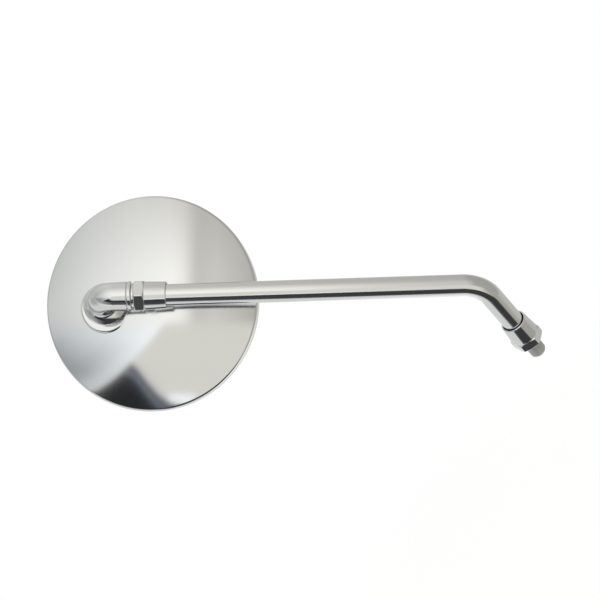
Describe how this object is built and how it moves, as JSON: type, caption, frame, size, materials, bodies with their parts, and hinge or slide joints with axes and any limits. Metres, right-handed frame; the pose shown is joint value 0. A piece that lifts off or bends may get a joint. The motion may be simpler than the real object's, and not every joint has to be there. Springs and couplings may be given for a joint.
{
  "type": "motorcycle mirror",
  "caption": "Round chromed motorcycle mirror: pressed shell on a clamped ball swivel, cast elbow, bent tube stem and threaded mounting stud with skirted lock nuts.",
  "frame": {"origin": "centre of the lower lock nut's bearing face, on the mounting stud's axis", "axes": "-Z along the mounting stud, out of the nut; the stem bends over towards -X and stays in the XZ plane; Y completes the frame, and the mirror's back faces -Y and +Z"},
  "size_m": [0.2527, 0.1057, 0.1945],
  "materials": {
    "shell_chrome": "bright chrome plate on pressed steel",
    "elbow_chrome": "bright chrome plate on a polished casting",
    "nut_chrome": "bright chrome plate on machined steel",
    "tube_chrome": "bright chrome plate on drawn tube",
    "stud_steel": "zinc-plated thread",
    "plated_steel": "zinc plate",
    "spring_steel": "dark spring steel",
    "mirror_glass": "silvered convex glass",
    "pad_foam": "closed-cell foam",
    "seal_rubber": "soft black rubber",
    "friction_nylon": "moulded nylon"
  },
  "bodies": {
    "stem": {"stem_tube": "tube_chrome", "lower_stud": "stud_steel", "upper_stud": "stud_steel", "elbow_washer": "nut_chrome"},
    "lower_nut": {"lower_lock_nut": "nut_chrome"},
    "upper_nut": {"upper_lock_nut": "nut_chrome"},
    "elbow_arm": {"elbow": "elbow_chrome", "pivot_stud": "stud_steel", "pivot_nut": "plated_steel", "pivot_washer": "plated_steel", "disc_springs": "spring_steel", "pressure_washer": "plated_steel"},
    "outer_ring": {"outer_friction_ring": "friction_nylon"},
    "inner_ring": {"inner_friction_ring": "friction_nylon"},
    "head": {"shell": "shell_chrome", "boss_plate": "plated_steel", "glass": "mirror_glass", "glass_pad": "pad_foam", "rim_seal": "seal_rubber"}
  },
  "joints": [
    {"name": "lower_nut_turn", "type": "hinge", "parent": "stem", "child": "lower_nut", "pos_m": [0, 0, 0], "axis": [0, 0, 1], "continuous": true},
    {"name": "upper_nut_turn", "type": "hinge", "parent": "stem", "child": "upper_nut", "pos_m": [0, 0, 0.0555], "axis": [-0.8526, 0, 0.5225], "continuous": true},
    {"name": "elbow_turn", "type": "hinge", "parent": "stem", "child": "elbow_arm", "pos_m": [0, 0, 0.0555], "axis": [-0.8526, 0, 0.5225], "range_deg": [-180, 180]},
    {"name": "head_pitch", "type": "hinge", "parent": "elbow_arm", "child": "outer_ring", "pos_m": [-0.20146, 0.01392, 0.15068], "axis": [-0.8526, 0, 0.5225], "range_deg": [-1.5, 18.5]},
    {"name": "head_yaw", "type": "hinge", "parent": "outer_ring", "child": "inner_ring", "pos_m": [-0.20146, 0.01392, 0.15068], "axis": [0.3253, 0.7826, 0.5308], "range_deg": [-4.3, 15.7]},
    {"name": "head_spin", "type": "hinge", "parent": "inner_ring", "child": "head", "pos_m": [-0.20146, 0.01392, 0.15068], "axis": [0.3222, -0.6194, 0.7159], "continuous": true}
  ]
}
